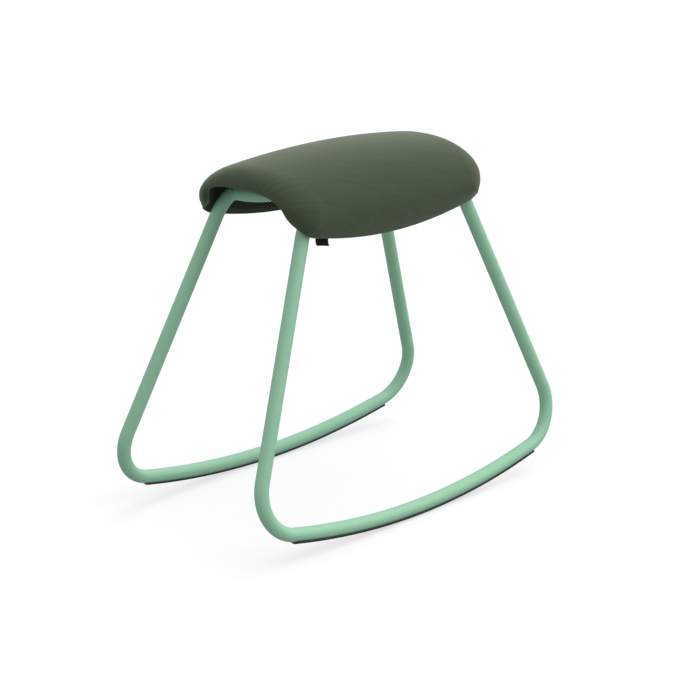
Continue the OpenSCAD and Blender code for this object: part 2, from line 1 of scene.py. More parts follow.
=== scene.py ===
# %% [markdown]
# A rocking stool: two leaning loops of bent steel tube with curved runners carry a padded
# saddle seat. The solids come from the CAD model, and this lesson dresses them: smooth bent
# tubes with their welds, a stretched fabric cover over foam, a dotted lining, and materials
# that are named for what each piece really is. Everything is in metres, with +Z up and the
# front of the seat facing -Y.

import math

import bmesh
import bpy
from mathutils import Matrix, Vector


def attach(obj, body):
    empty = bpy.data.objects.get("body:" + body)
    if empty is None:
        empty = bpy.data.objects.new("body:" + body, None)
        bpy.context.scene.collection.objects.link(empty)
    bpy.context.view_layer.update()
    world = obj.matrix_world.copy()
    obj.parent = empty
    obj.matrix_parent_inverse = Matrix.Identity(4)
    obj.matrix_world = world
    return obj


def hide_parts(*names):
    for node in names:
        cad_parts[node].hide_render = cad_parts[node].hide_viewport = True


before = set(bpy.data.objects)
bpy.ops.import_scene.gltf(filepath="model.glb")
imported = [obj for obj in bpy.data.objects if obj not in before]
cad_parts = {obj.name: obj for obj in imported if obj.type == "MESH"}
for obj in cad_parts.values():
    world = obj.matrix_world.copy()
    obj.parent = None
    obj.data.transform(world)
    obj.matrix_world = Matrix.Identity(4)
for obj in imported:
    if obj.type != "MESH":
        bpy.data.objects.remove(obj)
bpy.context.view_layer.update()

# %% [markdown]
# The camera stands where the photographer stood: 45 degrees round from the front, a little
# above the seat, with a long lens that keeps the two loops nearly parallel.

# %% Camera
camera_place = Vector((2.4673, -2.4834, 1.3690))
camera_target = Vector((-0.0063, -0.0063, 0.2894))
camera_data = bpy.data.cameras.new("photo_camera")
camera_data.lens = 106.2
camera_data.sensor_width = 36
camera = bpy.data.objects.new("photo_camera", camera_data)
camera.location = camera_place
camera.rotation_mode = "QUATERNION"
camera.rotation_quaternion = (camera_target - camera_place).to_track_quat("-Z", "Y")
bpy.context.collection.objects.link(camera)
bpy.context.scene.camera = camera

# %% [markdown]
# Four small helpers for materials. The first turns a hex colour into the linear values that
# the shader wants. The others add a node with its values and links, make a material, and
# link one output to one socket.

# %% Helpers for materials
MM = 0.001


def colour(code, alpha=1.0):
    """Turns a colour such as 8fc3a2 into linear red, green, blue and alpha."""
    parts = [int(code[i : i + 2], 16) / 255 for i in (0, 2, 4)]
    linear = [p / 12.92 if p <= 0.04045 else ((p + 0.055) / 1.055) ** 2.4 for p in parts]
    return (*linear, alpha)


def add_node(material, kind, settings=None, links=None):
    """Adds a node, sets its sockets or properties, and links outputs into its sockets."""
    node = material.node_tree.nodes.new("ShaderNode" + kind)
    for name, value in (settings or {}).items():
        if isinstance(name, int) or name in node.inputs:
            node.inputs[name].default_value = value
        else:
            setattr(node, name, value)
    for name, output in (links or {}).items():
        material.node_tree.links.new(output, node.inputs[name])
    return node


def new_material(name, code, settings):
    """Makes a material with its base colour and shader settings, and returns its shader too."""
    material = bpy.data.materials.new(name)
    material.use_nodes = True
    material.diffuse_color = colour(code)
    shader = material.node_tree.nodes["Principled BSDF"]
    shader.inputs["Base Color"].default_value = colour(code)
    for socket, value in settings.items():
        shader.inputs[socket].default_value = value
    return material, shader


def link(material, output, socket):
    """Links one output to one socket."""
    material.node_tree.links.new(output, socket)


# %% [markdown]
# The frame is mild steel tube with a polyester powder coat. The powder melts into a satin
# skin with a faint orange peel, a few tenths of a millimetre across. That is too fine for
# this picture, so the peel is drawn about 3 mm across and very shallow.

# %% Powder coat
powder_coat, shader = new_material(
    "mint_powder_coat_on_steel", "9dd3b2", {"Roughness": 0.42, "IOR": 1.5}
)
place = add_node(powder_coat, "TexCoord")
peel = add_node(
    powder_coat,
    "TexNoise",
    {"Scale": 1 / (3 * MM), "Detail": 2.0, "Roughness": 0.5},
    {"Vector": place.outputs["Object"]},
)
bump = add_node(
    powder_coat, "Bump", {"Strength": 0.12, "Distance": 0.1 * MM}, {"Height": peel.outputs["Fac"]}
)
link(powder_coat, bump.outputs["Normal"], shader.inputs["Normal"])
drift = add_node(
    powder_coat, "TexNoise", {"Scale": 9.0, "Detail": 3.0}, {"Vector": place.outputs["Object"]}
)
shade = add_node(
    powder_coat,
    "Mix",
    {"data_type": "RGBA", 6: colour("99d0ae"), 7: colour("a1d6b6")},
    {0: drift.outputs["Fac"]},
)
link(powder_coat, shade.outputs[2], shader.inputs["Base Color"])

# %% [markdown]
# The seat cover is a tightly woven polyester in dark olive green. Its threads are about half
# a millimetre apart, finer than a pixel, so the weave is drawn with ribs 3.2 mm apart along
# the seat, crossed by finer threads. Faint slanting streaks, called slubs, show where the
# yarn is thicker. The pattern follows the cloth's own UV map, which is measured in metres.

# %% Woven cover fabric
cover_fabric, shader = new_material(
    "olive_woven_polyester",
    "3b4e35",
    {"Roughness": 0.92, "IOR": 1.45, "Sheen Weight": 0.7, "Sheen Roughness": 0.45},
)
shader.inputs["Specular IOR Level"].default_value = 0.25
shader.inputs["Sheen Tint"].default_value = colour("c3cbb8")
RIB_PITCH = 3.2 * MM
THREAD_PITCH = 1.6 * MM
THREAD_SHARE = 0.35
SLUB_ANGLE = math.radians(24)
SLUB_W = 8 * MM
SLUB_L = 120 * MM
SLUB_FROM = 0.35
SLUB_TO = 0.65
cloth = add_node(cover_fabric, "UVMap", {"uv_map": "cloth"})
ribs = add_node(
    cover_fabric,
    "TexWave",
    {
        "wave_type": "BANDS",
        "bands_direction": "X",
        "Scale": math.pi / (10 * RIB_PITCH),
        "Distortion": 0.6,
        "Detail": 2.0,
        "Detail Scale": 3.0,
    },
    {"Vector": cloth.outputs["UV"]},
)
threads = add_node(
    cover_fabric,
    "TexWave",
    {"wave_type": "BANDS", "bands_direction": "Y", "Scale": math.pi / (10 * THREAD_PITCH)},
    {"Vector": cloth.outputs["UV"]},
)
weave = add_node(
    cover_fabric,
    "Math",
    {"operation": "MULTIPLY_ADD", 1: THREAD_SHARE},
    {0: threads.outputs["Fac"], 2: ribs.outputs["Fac"]},
)
bump = add_node(
    cover_fabric, "Bump", {"Strength": 0.35, "Distance": 0.25 * MM}, {"Height": weave.outputs[0]}
)
link(cover_fabric, bump.outputs["Normal"], shader.inputs["Normal"])
across_slubs = add_node(
    cover_fabric,
    "Mapping",
    {
        "vector_type": "TEXTURE",
        "Rotation": (0, 0, -SLUB_ANGLE),
        "Scale": (SLUB_W, SLUB_L, 1),
    },
    {"Vector": cloth.outputs["UV"]},
)
slubs = add_node(
    cover_fabric,
    "TexNoise",
    {"Scale": 1.0, "Detail": 1.0},
    {"Vector": across_slubs.outputs["Vector"]},
)
yarn = add_node(
    cover_fabric,
    "MapRange",
    {"From Min": SLUB_FROM, "From Max": SLUB_TO},
    {"Value": slubs.outputs["Fac"]},
)
shade = add_node(
    cover_fabric,
    "Mix",
    {"data_type": "RGBA", 6: colour("3d4b37"), 7: colour("42503c")},
    {0: yarn.outputs["Result"]},
)
link(cover_fabric, shade.outputs[2], shader.inputs["Base Color"])

# %% [markdown]
# Under the seat a black non-woven sheet hides the shell. It is spun polypropylene, pressed
# between rollers that leave a grid of small dots, here 5 mm apart. A dot's inner and outer
# radius are shares of that distance, and its edge fades between them.

# %% Dotted lining
lining_cloth, shader = new_material(
    "spunbond_polypropylene", "1b1d1b", {"Roughness": 0.85, "Specular IOR Level": 0.2}
)
DOT_PITCH = 5.0 * MM
DOT_INNER_R = 0.22
DOT_OUTER_R = 0.34
cloth = add_node(lining_cloth, "UVMap", {"uv_map": "cloth"})
turned = add_node(
    lining_cloth,
    "Mapping",
    {"Rotation": (0, 0, math.radians(45)), "Scale": (1 / DOT_PITCH,) * 3},
    {"Vector": cloth.outputs["UV"]},
)
dots = add_node(
    lining_cloth,
    "TexVoronoi",
    {"Scale": 1.0, "Randomness": 0.0},
    {"Vector": turned.outputs["Vector"]},
)
spot = add_node(
    lining_cloth,
    "MapRange",
    {"From Min": DOT_INNER_R, "From Max": DOT_OUTER_R, "To Min": 1.0, "To Max": 0.0},
    {"Value": dots.outputs["Distance"]},
)
shade = add_node(
    lining_cloth,
    "Mix",
    {"data_type": "RGBA", 6: colour("0d0f0d"), 7: colour("74766f")},
    {0: spot.outputs["Result"]},
)
link(lining_cloth, shade.outputs[2], shader.inputs["Base Color"])
bump = add_node(
    lining_cloth,
    "Bump",
    {"Strength": 0.5, "Distance": 0.2 * MM},
    {"Height": spot.outputs["Result"]},
)
link(lining_cloth, bump.outputs["Normal"], shader.inputs["Normal"])

# %% [markdown]
# The small and hidden pieces each get the finish of what they are: rubber strips and pads
# with a fine grain, zinc plated fasteners, brass inserts, a moulded plastic shell, cut foam
# and a satin woven tag. One loop makes them all from a table, which gives each finish its
# colour, its roughness, 1 for a bare metal or 0 for anything else, and its grain in mm.

# %% Rubber, metal and plastic
FINISHES = {
    "moulded_black_rubber": ("191b1a", 0.75, 0.0, 1.2),
    "soft_black_rubber": ("202221", 0.8, 0.0, 0.8),
    "zinc_plated_steel": ("a9adb0", 0.35, 1.0, 0.6),
    "black_staple_wire": ("2c2e2d", 0.45, 1.0, 0.8),
    "drawn_steel_tube": ("8b9094", 0.4, 1.0, 1.0),
    "machined_brass": ("c9a765", 0.3, 1.0, 0.7),
    "moulded_polypropylene": ("34393b", 0.55, 0.0, 1.5),
    "cut_seat_foam": ("d9d0b4", 0.95, 0.0, 2.5),
    "black_satin_tape": ("0c0d0d", 0.7, 0.0, 0.7),
}
ROUGHNESS_SPREAD = 0.15
finish = {}
for name, (code, roughness, metallic, grain_mm) in FINISHES.items():
    material, shader = new_material(name, code, {"Roughness": roughness, "Metallic": metallic})
    place = add_node(material, "TexCoord")
    grain = add_node(
        material,
        "TexNoise",
        {"Scale": 1 / (grain_mm * MM), "Detail": 3.0},
        {"Vector": place.outputs["Object"]},
    )
    bump = add_node(
        material, "Bump", {"Strength": 0.3, "Distance": 0.1 * MM}, {"Height": grain.outputs["Fac"]}
    )
    link(material, bump.outputs["Normal"], shader.inputs["Normal"])
    rough = add_node(
        material,
        "MapRange",
        {
            "To Min": roughness * (1 - ROUGHNESS_SPREAD),
            "To Max": min(roughness * (1 + ROUGHNESS_SPREAD), 1),
        },
        {"Value": grain.outputs["Fac"]},
    )
    link(material, rough.outputs["Result"], shader.inputs["Roughness"])
    finish[name] = material
tape_shader = finish["black_satin_tape"].node_tree.nodes["Principled BSDF"]
tape_shader.inputs["Specular IOR Level"].default_value = 0.15
print("materials", len(bpy.data.materials))

# %% [markdown]
# CAD pieces whose shape is already right keep their mesh and only get a finish.

# %% Finishes of the CAD pieces that stay
STAYING = {
    "left_joint_sleeve": "drawn_steel_tube",
    "right_joint_sleeve": "drawn_steel_tube",
    "left_runner_strip": "moulded_black_rubber",
    "right_runner_strip": "moulded_black_rubber",
    "seat_shell": "moulded_polypropylene",
    "threaded_inserts": "machined_brass",
    "seat_bolts": "zinc_plated_steel",
    "bolt_washers": "zinc_plated_steel",
    "seat_pads": "soft_black_rubber",
    "lining_staples": "black_staple_wire",
    "front_cross_plate": None,
    "rear_cross_plate": None,
}
for node, name in STAYING.items():
    material = finish[name] if name else powder_coat
    data = bpy.data.objects[node].data
    data.materials.clear()
    data.materials.append(material)


# %% [markdown]
# The frame's sizes, in millimetres, are the CAD model's own. A loop is drawn flat: u runs
# from front to back, v runs up the loop from the middle of the runner, and then the whole
# loop leans in towards the seat.

# %% Frame sizes
TUBE_R = 12.5
TUBE_WALL = 2.0
STRIP_T = 3.5
RUNNER_R = 1500.0
RUNNER_HALF_ANGLE = math.radians(12)
BEND_R = 78.0
SIDE_LEAN = math.radians(10)
TOP_RAIL_X = 100.8
TOP_RAIL_Z = 584.2
TOP_CENTRE_Y = 134.1
BUTT_GAP = 0.6
RAIL_X = 38.0
RAIL_BEND_R = 50.0
RAIL_DROP = 9.5

axis_z = TUBE_R + STRIP_T
top_v = (TOP_RAIL_Z - axis_z) / math.cos(SIDE_LEAN)
half_track = TOP_RAIL_X + top_v * math.sin(SIDE_LEAN)
top_centre = Vector((TOP_CENTRE_Y, top_v - BEND_R))
runner_end = Vector(
    (RUNNER_R * math.sin(RUNNER_HALF_ANGLE), RUNNER_R * (1 - math.cos(RUNNER_HALF_ANGLE)))
)
low_centre = runner_end + BEND_R * Vector(
    (-math.sin(RUNNER_HALF_ANGLE), math.cos(RUNNER_HALF_ANGLE))
)
leg_lean = math.atan2(low_centre.x - top_centre.x, top_centre.y - low_centre.y)
rail_z = TOP_RAIL_Z - RAIL_DROP
rail_v = (rail_z - axis_z) / math.cos(SIDE_LEAN)
rail_end_y = top_centre.x + math.sqrt(BEND_R**2 - (rail_v - top_centre.y) ** 2)
rail_end_x = half_track - rail_v * math.sin(SIDE_LEAN)
loop_place = Matrix.Translation((half_track, 0, axis_z)) @ Matrix.Rotation(-SIDE_LEAN, 4, "Y")
print("seat rails meet the loops at", round(rail_end_x, 1), round(rail_end_y, 1))

# %% [markdown]
# A tube bender works from one end: feed a straight length, then turn the tube round a die.
# The mesh is made in the same way. A circle is extruded for each straight and spun round
# the die's centre for each bend. The wall is added at the end by a Solidify modifier.

# %% Helpers that bend a tube
TUBE_SIDES = 32
TOP_STEPS = 16
LOW_STEPS = 24
RUNNER_STEPS = 32
RAIL_STEPS = 18


def start_tube(bm, place, direction):
    """Makes the tube's first ring at a place, square to a direction."""
    turn = Vector(direction).to_track_quat("Z", "Y").to_matrix().to_4x4()
    ring = bmesh.ops.create_circle(
        bm, segments=TUBE_SIDES, radius=TUBE_R, matrix=Matrix.Translation(place) @ turn
    )
    return list({edge for vert in ring["verts"] for edge in vert.link_edges})


def feed(bm, ring, move):
    """Extrudes the last ring along a straight and returns the new ring."""
    grown = bmesh.ops.extrude_edge_only(bm, edges=ring)["geom"]
    verts = [item for item in grown if isinstance(item, bmesh.types.BMVert)]
    bmesh.ops.translate(bm, verts=verts, vec=move)
    return [
        item
        for item in grown
        if isinstance(item, bmesh.types.BMEdge) and all(v in verts for v in item.verts)
    ]


def turn(bm, ring, centre, axis, angle, steps):
    """Spins the last ring round a die and returns the new ring."""
    verts = list({vert for edge in ring for vert in edge.verts})
    last = bmesh.ops.spin(
        bm, geom=verts + ring, cent=centre, axis=axis, angle=angle, steps=steps, use_duplicate=False
    )["geom_last"]
    return [item for item in last if isinstance(item, bmesh.types.BMEdge)]


def middle(ring):
    """Gives the centre of a ring."""
    verts = {vert for edge in ring for vert in edge.verts}
    return sum((vert.co for vert in verts), Vector()) / len(verts)


def finish_piece(bm, name, material, nodes=(), levels=0, wall=0.0, wall_side=-1):
    """Turns a bmesh drawn in millimetres into a smooth piece that rides with the stool.

    A wall grows inwards from the drawn surface, or to both sides of it where wall_side is 0.
    """
    bmesh.ops.remove_doubles(bm, verts=bm.verts[:], dist=0.001)
    bmesh.ops.recalc_face_normals(bm, faces=bm.faces[:])
    bmesh.ops.scale(bm, vec=(MM, MM, MM), verts=bm.verts[:])
    data = bpy.data.meshes.new(name)
    bm.to_mesh(data)
    bm.free()
    data.materials.append(material)
    data.shade_smooth()
    piece = bpy.data.objects.new(name, data)
    bpy.context.collection.objects.link(piece)
    if wall:
        solid = piece.modifiers.new("wall", "SOLIDIFY")
        solid.thickness = wall * MM
        solid.offset = wall_side
    if levels:
        smooth = piece.modifiers.new("smooth", "SUBSURF")
        smooth.levels = smooth.render_levels = levels
    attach(piece, "root")
    if nodes:
        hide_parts(*nodes)
    return piece


# %% [markdown]
# Each loop starts at the butt joint under the seat and goes once round: back, down the rear
# leg, forward along the runner, up the front leg and back to the joint. The left loop is
# the same mesh mirrored.

# %% Side loops
BACKWARD = Vector((0, 1, 0))
SIDEWAYS = Vector((1, 0, 0))


def draw_loop(bm):
    """Draws the right loop flat in the plane X = 0."""
    spin_top = -(math.pi / 2 - leg_lean)
    spin_low = -(math.pi / 2 + leg_lean - RUNNER_HALF_ANGLE)
    down = low_centre - top_centre
    ring = start_tube(bm, (0, BUTT_GAP / 2, top_v), BACKWARD)
    ring = feed(bm, ring, (0, top_centre.x - BUTT_GAP / 2, 0))
    ring = turn(bm, ring, (0, top_centre.x, top_centre.y), SIDEWAYS, spin_top, TOP_STEPS)
    ring = feed(bm, ring, (0, down.x, down.y))
    ring = turn(bm, ring, (0, low_centre.x, low_centre.y), SIDEWAYS, spin_low, LOW_STEPS)
    spin_runner = -2 * RUNNER_HALF_ANGLE
    ring = turn(bm, ring, (0, 0, RUNNER_R), SIDEWAYS, spin_runner, RUNNER_STEPS)
    ring = turn(bm, ring, (0, -low_centre.x, low_centre.y), SIDEWAYS, spin_low, LOW_STEPS)
    ring = feed(bm, ring, (0, down.x, -down.y))
    ring = turn(bm, ring, (0, -top_centre.x, top_centre.y), SIDEWAYS, spin_top, TOP_STEPS)
    ring = feed(bm, ring, (0, top_centre.x - BUTT_GAP / 2, 0))
    print("loop closes at", [round(n, 2) for n in middle(ring)])


for side, name in ((1, "right_side_loop"), (-1, "left_side_loop")):
    bm = bmesh.new()
    draw_loop(bm)
    bm.transform(Matrix.Diagonal((side, 1, 1, 1)) @ loop_place)
    finish_piece(bm, name + "_tube", powder_coat, [name], wall=TUBE_WALL)

# %% [markdown]
# A seat rail leaves the loop's rear bend, turns forward under the seat and goes out again to
# the front bend. Its ends stop just inside the loop's wall, where the weld hides them.

# %% Seat rails
RAIL_END_DEPTH = 7.0


def draw_seat_rail(bm):
    """Draws the right seat rail at its height."""
    end_x = rail_end_x - RAIL_END_DEPTH
    die_x = RAIL_X + RAIL_BEND_R
    die_y = rail_end_y - RAIL_BEND_R
    up = Vector((0, 0, 1))
    ring = start_tube(bm, (end_x, rail_end_y, rail_z), -SIDEWAYS)
    ring = feed(bm, ring, (die_x - end_x, 0, 0))
    ring = turn(bm, ring, (die_x, die_y, rail_z), up, math.pi / 2, RAIL_STEPS)
    ring = feed(bm, ring, (0, -2 * die_y, 0))
    ring = turn(bm, ring, (die_x, -die_y, rail_z), up, math.pi / 2, RAIL_STEPS)
    ring = feed(bm, ring, (end_x - die_x, 0, 0))
    print("seat rail ends at", [round(n, 2) for n in middle(ring)])


for side, name in ((1, "right_seat_rail"), (-1, "left_seat_rail")):
    bm = bmesh.new()
    draw_seat_rail(bm)
    bm.transform(Matrix.Diagonal((side, 1, 1, 1)))
    finish_piece(bm, name + "_tube", powder_coat, [name], wall=TUBE_WALL)

# %% [markdown]
# A fillet weld runs round each rail's end, where it meets the loop's bend, and along both
# sides of each cross plate. The powder coat covers the beads, so they show as soft ridges.

# %% Weld beads
WELD_R = 1.7
WELD_STEPS = 48
WELD_HALVINGS = 30
PLATE_Y = 75.0
PLATE_HALF_W = 17.0
PLATE_HALF_TOUCH = 4.9


def gap_to_loop(place):
    """Distance from a point to the surface of the right loop's rear bend."""
    flat = loop_place.inverted() @ place
    from_arc = math.hypot(flat.y - top_centre.x, flat.z - top_centre.y) - BEND_R
    return math.hypot(from_arc, flat.x) - TUBE_R


def weld_ring():
    """Points of the line where the right rail's surface meets the loop's rear bend."""
    points = []
    for step in range(WELD_STEPS):
        angle = 2 * math.pi * step / WELD_STEPS
        place = Vector((0, rail_end_y, rail_z))
        place += TUBE_R * Vector((0, math.cos(angle), math.sin(angle)))
        near, far = rail_end_x - 2 * TUBE_R, rail_end_x
        for _ in range(WELD_HALVINGS):
            place.x = (near + far) / 2
            if gap_to_loop(place) > 0:
                near = place.x
            else:
                far = place.x
        points.append(place.copy())
    return points


def weld_bead(name, points, closed):
    """Lays a round bead along a line of points in millimetres."""
    curve = bpy.data.curves.new(name, "CURVE")
    curve.dimensions = "3D"
    curve.bevel_depth = WELD_R
    curve.bevel_resolution = 2
    curve.use_fill_caps = not closed
    spline = curve.splines.new("POLY")
    spline.points.add(len(points) - 1)
    for knot, place in zip(spline.points, points):
        knot.co = (*place, 1)
    spline.use_cyclic_u = closed
    bare = bpy.data.objects.new(name, curve)
    bpy.context.collection.objects.link(bare)
    data = bpy.data.meshes.new_from_object(bare)
    bm = bmesh.new()
    bm.from_mesh(data)
    bpy.data.objects.remove(bare)
    bpy.data.meshes.remove(data)
    return finish_piece(bm, name, powder_coat)


ring = weld_ring()
plate_edge_z = rail_z + math.sqrt(TUBE_R**2 - PLATE_HALF_TOUCH**2)
for side, side_name in ((1, "right"), (-1, "left")):
    for end, end_name in ((1, "rear"), (-1, "front")):
        mirrored = [Vector((side * p.x, end * p.y, p.z)) for p in ring]
        weld_bead(f"{side_name}_{end_name}_rail_weld", mirrored, True)
        for number, edge in ((3, 1), (1, -1)):
            x = side * (RAIL_X + edge * PLATE_HALF_TOUCH)
            plate_ends = [end * PLATE_Y - PLATE_HALF_W, end * PLATE_Y + PLATE_HALF_W]
            line = [Vector((x, y, plate_edge_z)) for y in plate_ends]
            weld_bead(f"{side_name}_{end_name}_plate_weld_{number}", line, False)

# %% [markdown]
# The saddle is a thick slab of foam bent over an arch. A flat slab is made first. In it, u
# goes across the seat and v from front to back, both from -1 to 1, and w goes up through the
# padding from 0 to 1. Each point is then carried to its place on the saddle by rules like
# the CAD model's. Only the two ends are fuller here: the lip runs along the very front, as
# in the photo, and falls back down the flaps.

# %% Saddle sizes
SEAT_H = 655.0
SEAT_W = 288.0
CREST_HALF_L = 244.0
FLAP_HALF_L = 227.5
CREST_DROP = 11.5
WIDEST_DROP = 92.5
FLAP_BOTTOM = 514.0
FLAP_RISE = 26.0
FLAP_CORNER_L = 30.0
FLAP_CORNER_RISE = 32.0
EDGE_TUCK = 16.5
LOW_ANGLE = math.radians(62)
FULL_X = 2.3
FULL_Z = 1.85
END_ROUND = 42.0
CORNER_ROUND = 14.0
END_LIP = 4.0
CORNER_LIP = 14.0
LIP_HALF_L = 243.0
EDGE_HALF_L = 213.0
ARCH_RISE = 9.0
ARCH_FULL = 2.5
ARCH_PINCH = 18.0
HALF_INSIDE = 123.0
INSIDE_R = 22.0
SEAT_GAP = 0.5
LINING_T = 0.7
COVER_T = 1.4
SHELL_T = 4.0
LAYER_GAP = 0.3
RIM_LOW_SHARE = 0.12
CROWN_SHARE = 7 / 9
FLAT_SHARE = 2 / 9
CORNER_SHARE = 6 / 9
CORNER_ANGLE = math.pi / 4
SHELL_HALF_L = 209.2
ON_EDGE = 0.999
HALFWAY_UP = 0.5
OFF_UNDERSIDE = 0.01

base_z = TOP_RAIL_Z + TUBE_R + SEAT_GAP
hem_offset = LINING_T + LAYER_GAP
foam_inset = COVER_T + 3 * LAYER_GAP
foam_offset = hem_offset + COVER_T + SHELL_T + 2 * LAYER_GAP
half_w = SEAT_W / 2
half_edge = half_w - EDGE_TUCK
inside_corner_x = HALF_INSIDE - INSIDE_R
widest_z = SEAT_H - WIDEST_DROP
flap_lip = (widest_z - FLAP_BOTTOM) * (1 - math.sin(LOW_ANGLE))
print("flaps' lip", round(flap_lip, 1))


# %% The saddle's lower edge and its outside
def corner_turn(y):
    """Angle by which a flap's edge has turned towards the end at y."""
    past = min(max((abs(y) - EDGE_HALF_L) / FLAP_CORNER_L + 1, 0), 1)
    return math.asin(math.sin(CORNER_ANGLE) * past)


def edge_z(y):
    """Height of a flap's lower edge at y."""
    corner = FLAP_CORNER_RISE * (1 - math.cos(corner_turn(y)))
    return FLAP_BOTTOM + FLAP_RISE * (y / EDGE_HALF_L) ** 2 + corner


def crown_angle(u):
    """Angle round the crown, from the crest to the widest line."""
    return min(abs(u) / CROWN_SHARE, 1) * math.pi / 2


def end_half_l(u):
    """Half length of the padding at u across the saddle."""
    return CREST_HALF_L + (FLAP_HALF_L - CREST_HALF_L) * math.sin(crown_angle(u)) ** 2


def skin(u, share, inset):
    """A point on the outside of the padding."""
    side = math.copysign(1, u)
    crown = crown_angle(u)
    low = LOW_ANGLE * max(abs(u) - CROWN_SHARE, 0) / (1 - CROWN_SHARE)
    end_round = END_ROUND + (CORNER_ROUND - END_ROUND) * abs(u) ** 3
    y = share * (end_half_l(u) - end_round)
    if low > 0:
        bottom = edge_z(share * EDGE_HALF_L) + inset
        x = half_edge + (half_w - inset - half_edge) * math.cos(low)
        return Vector((side * x, y, widest_z - (widest_z - bottom) * math.sin(low)))
    crest = SEAT_H - CREST_DROP * share**2 - inset
    x = (half_w - inset) * math.sin(crown) ** (2 / FULL_X)
    z = widest_z + (crest - widest_z) * max(math.cos(crown), 0) ** (2 / FULL_Z)
    return Vector((side * x, y, z))


# %% The saddle's inside and its rolled rim
def inside(u, share, offset, half_l):
    """A point on the inside of the saddle, moved out by an offset."""
    flat = min(abs(u) / FLAT_SHARE, 1)
    corner = max(abs(u) - FLAT_SHARE, 0) / (CORNER_SHARE - FLAT_SHARE)
    corner = min(corner, 1) * math.pi / 2
    down = max(abs(u) - CORNER_SHARE, 0) / (1 - CORNER_SHARE)
    r = INSIDE_R + offset
    corner_z = base_z - INSIDE_R
    lip_z = edge_z(share * EDGE_HALF_L) + flap_lip
    x = inside_corner_x * flat + r * math.sin(corner)
    z = corner_z + r * math.cos(corner) - (corner_z - lip_z) * down
    return Vector((math.copysign(x, u), share * half_l, z))


def border_out(u, y):
    """Direction in which the padding's border faces, and how far it has turned to the end."""
    if abs(u) > ON_EDGE:
        turned = corner_turn(y)
        slope = 2 * FLAP_RISE * abs(y) / EDGE_HALF_L**2
        lean = slope * math.cos(turned) + math.sin(turned)
        out = Vector((0, math.copysign(lean, y), -math.cos(turned))).normalized()
    else:
        near_corner = max(abs(u) - CORNER_SHARE, 0) / (1 - CORNER_SHARE)
        turned = math.pi / 2 - CORNER_ANGLE * near_corner
        out = Vector((0, math.copysign(math.sin(turned), y), -math.cos(turned)))
    return out, turned


def lip(u, share, inset, turned):
    """The line where the padding turns in: along the flaps and over an arch at each end."""
    foot_x = HALF_INSIDE + hem_offset + inset
    foot_z = edge_z(share * EDGE_HALF_L) + flap_lip
    grown = math.copysign(math.sin(turned) * inset, share)
    if abs(u) > ON_EDGE:
        return Vector((math.copysign(foot_x, u), share * EDGE_HALF_L + grown, foot_z))
    arch = abs(u) * math.pi / 2
    height = math.cos(arch) ** (2 / ARCH_FULL)
    x = foot_x * math.sin(arch) ** (2 / ARCH_FULL) - ARCH_PINCH * math.sin(math.pi * abs(u) ** 3)
    reach = EDGE_HALF_L + (LIP_HALF_L - EDGE_HALF_L) * math.sin(height * math.pi / 2)
    z = foot_z + (base_z + ARCH_RISE + inset - foot_z) * height
    return Vector((math.copysign(x, u), share * reach + grown, z))


def rim(u, share, angle, inset):
    """A point of the rolled rim: angle 0 is on the skin and a half turn is on the lip."""
    out, turned = border_out(u, share * EDGE_HALF_L)
    under = lip(u, share, inset, turned)
    across = skin(u, share, inset) - under
    lead = across.dot(out)
    across -= lead * out
    endwards = math.sin(turned)
    end_lip = END_LIP + (CORNER_LIP - END_LIP) * abs(u) ** 3
    bulge = flap_lip + (end_lip - flap_lip) * endwards - inset * (1 + endwards)
    if angle < math.pi / 2:
        rise = RIM_LOW_SHARE + (1 - RIM_LOW_SHARE) * math.cos(angle)
        return under + rise * across + (lead + (bulge - lead) * math.sin(angle)) * out
    return under + RIM_LOW_SHARE * (1 + math.cos(angle)) * across + bulge * math.sin(angle) * out


def saddle_point(u, v, w, inset, offset):
    """Carries a point of the flat slab to the saddle."""
    share = math.sin(v * math.pi / 2)
    if abs(u) > ON_EDGE or abs(v) > ON_EDGE:
        return rim(u, share, (1 - w) * math.pi, inset)
    if w > HALFWAY_UP:
        return skin(u, share, inset)
    return inside(u, share, offset, SHELL_HALF_L + inset)


# %% [markdown]
# The slab is a grid, extruded once into a closed slab, with its side walls cut into rings
# that become the rolled rim. The flaps' corners are then smoothed, because the fabric pulls
# them round.


# %% The padded slab
CORNER_START = 0.8
CORNER_PASSES = 8
PULL_IN = 0.5
LET_OUT = -0.52
SLAB_ACROSS = 72
SLAB_LENGTHWAYS = 60
RIM_RINGS = 8


def smooth_corners(corners):
    """Evens out the flaps' corners without shrinking them: each pass pulls in and lets out."""
    for _ in range(CORNER_PASSES):
        for share in (PULL_IN, LET_OUT):
            places = []
            for vert in corners:
                around = [edge.other_vert(vert).co for edge in vert.link_edges]
                mean = sum(around, Vector()) / len(around)
                places.append(vert.co.lerp(mean, share))
            for vert, place in zip(corners, places):
                vert.co = place


